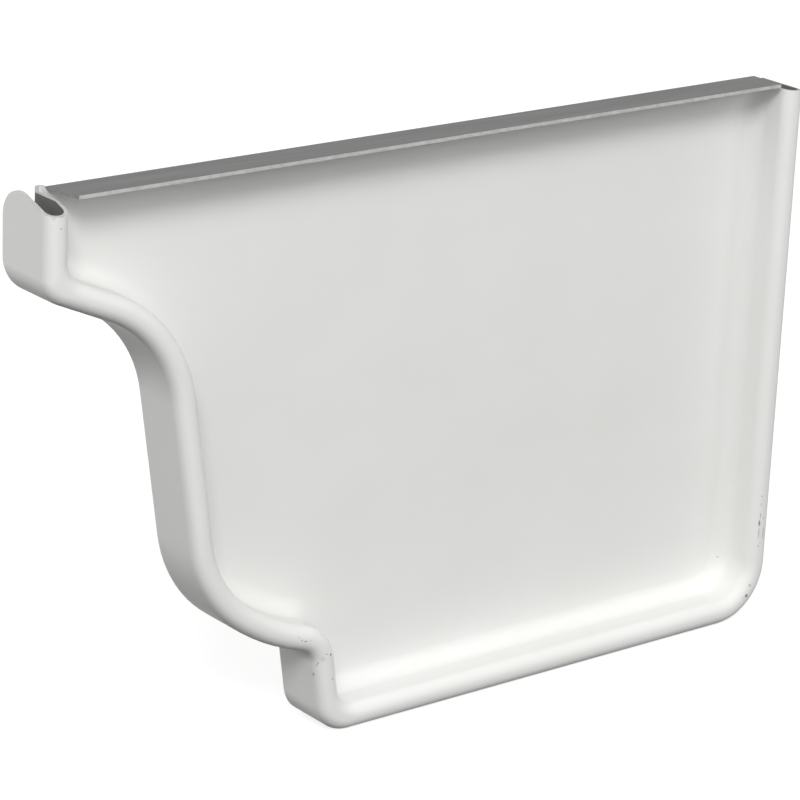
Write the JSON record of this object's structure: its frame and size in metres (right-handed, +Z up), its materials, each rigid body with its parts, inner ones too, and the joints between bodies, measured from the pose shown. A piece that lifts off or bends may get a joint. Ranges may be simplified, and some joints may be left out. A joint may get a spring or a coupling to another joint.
{
  "type": "gutter end cap",
  "caption": "Right-hand end cap for an ogee-profile roof gutter: a flat panel with a folded rim that slips over the gutter's end, and a short flange along the top.",
  "frame": {"origin": "under the middle of the outside box, level with the underside of the bottom rim", "axes": "+X from the gutter's front lip to the wall side, +Y into the gutter, +Z up as fitted"},
  "size_m": [0.132, 0.0108, 0.085],
  "materials": {
    "painted_sheet": "satin"
  },
  "bodies": {
    "root": {"end_cap": "painted_sheet"}
  },
  "joints": []
}
